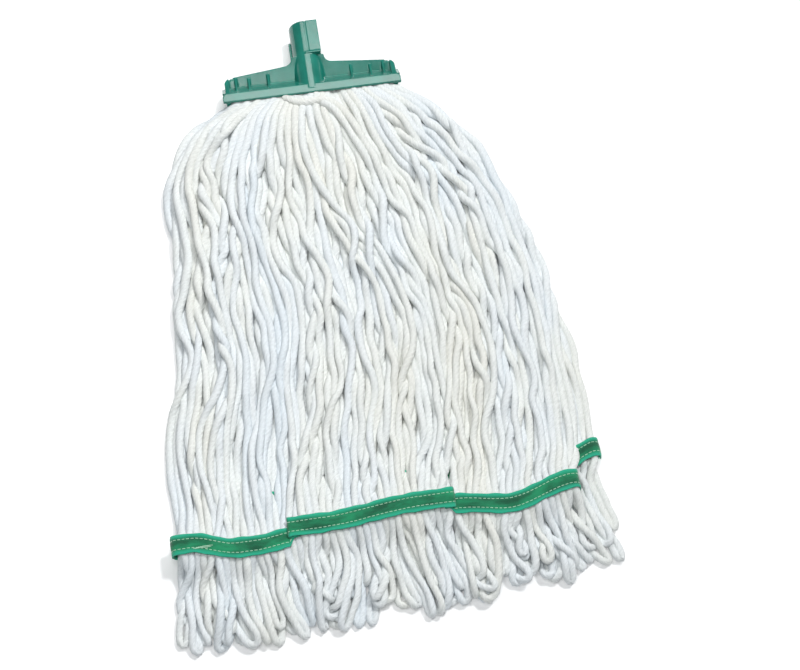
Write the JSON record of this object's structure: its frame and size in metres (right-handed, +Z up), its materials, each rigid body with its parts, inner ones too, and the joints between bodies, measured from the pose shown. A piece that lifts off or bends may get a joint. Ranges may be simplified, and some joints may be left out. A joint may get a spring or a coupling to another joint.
{
  "type": "string mop head",
  "caption": "String mop head: a moulded T-shaped holder with a handle socket, and two curtains of twisted cotton strings with looped ends, each held by a stitched tail band.",
  "frame": {"origin": "on the floor, under the middle of the mop head's box as it lies flat", "axes": "+X along the holder's bar, +Y out of the handle socket, +Z up, out of the open back of the holder"},
  "size_m": [0.3224, 0.544, 0.032],
  "materials": {
    "holder_plastic": "semi-matt injection-moulded polypropylene, green",
    "pin": "dark moulded pin",
    "core_wire": "zinc-plated wire",
    "headband_webbing": "unbleached woven webbing",
    "string_cotton": "bleached cotton, plied and twisted",
    "band_tape": "green woven tape",
    "stitch_thread": "white sewing thread"
  },
  "bodies": {
    "root": {"holder": "holder_plastic", "corner_pin_left": "pin", "corner_pin_right": "pin", "core_rod": "core_wire", "headband": "headband_webbing", "neck_strings": "string_cotton"},
    "upper_curtain": {"upper_strings_01": "string_cotton", "upper_strings_02": "string_cotton", "upper_strings_03": "string_cotton", "upper_strings_04": "string_cotton", "upper_strings_05": "string_cotton", "upper_strings_06": "string_cotton", "upper_strings_07": "string_cotton", "upper_strings_08": "string_cotton", "upper_strings_09": "string_cotton", "upper_strings_10": "string_cotton", "upper_band_upper_tape": "band_tape", "upper_band_under_tape": "band_tape", "upper_band_stitch_row_1": "stitch_thread", "upper_band_stitch_row_2": "stitch_thread"},
    "upper_tail": {"upper_fringe_01": "string_cotton", "upper_fringe_02": "string_cotton", "upper_fringe_03": "string_cotton", "upper_fringe_04": "string_cotton", "upper_fringe_05": "string_cotton", "upper_fringe_06": "string_cotton", "upper_fringe_07": "string_cotton", "upper_fringe_08": "string_cotton", "upper_fringe_09": "string_cotton", "upper_fringe_10": "string_cotton"},
    "lower_curtain": {"lower_strings_01": "string_cotton", "lower_strings_02": "string_cotton", "lower_strings_03": "string_cotton", "lower_strings_04": "string_cotton", "lower_strings_05": "string_cotton", "lower_strings_06": "string_cotton", "lower_strings_07": "string_cotton", "lower_strings_08": "string_cotton", "lower_band_upper_tape": "band_tape", "lower_band_under_tape": "band_tape", "lower_band_stitch_row_1": "stitch_thread", "lower_band_stitch_row_2": "stitch_thread"},
    "lower_tail": {"lower_fringe_01": "string_cotton", "lower_fringe_02": "string_cotton", "lower_fringe_03": "string_cotton", "lower_fringe_04": "string_cotton", "lower_fringe_05": "string_cotton", "lower_fringe_06": "string_cotton", "lower_fringe_07": "string_cotton", "lower_fringe_08": "string_cotton"}
  },
  "joints": [
    {"name": "upper_neck", "type": "hinge", "parent": "root", "child": "upper_curtain", "pos_m": [0, 0.198, 0.022], "axis": [-1, 0, 0], "range_deg": [0, 85]},
    {"name": "upper_band", "type": "hinge", "parent": "upper_curtain", "child": "upper_tail", "pos_m": [0, -0.1945, 0.025], "axis": [-1, 0, 0], "range_deg": [0, 60]},
    {"name": "lower_neck", "type": "hinge", "parent": "root", "child": "lower_curtain", "pos_m": [0, 0.198, 0.00268], "axis": [1, 0, 0], "range_deg": [0, 85]},
    {"name": "lower_band", "type": "hinge", "parent": "lower_curtain", "child": "lower_tail", "pos_m": [0, -0.1645, 0.001], "axis": [1, 0, 0], "range_deg": [0, 60]}
  ]
}
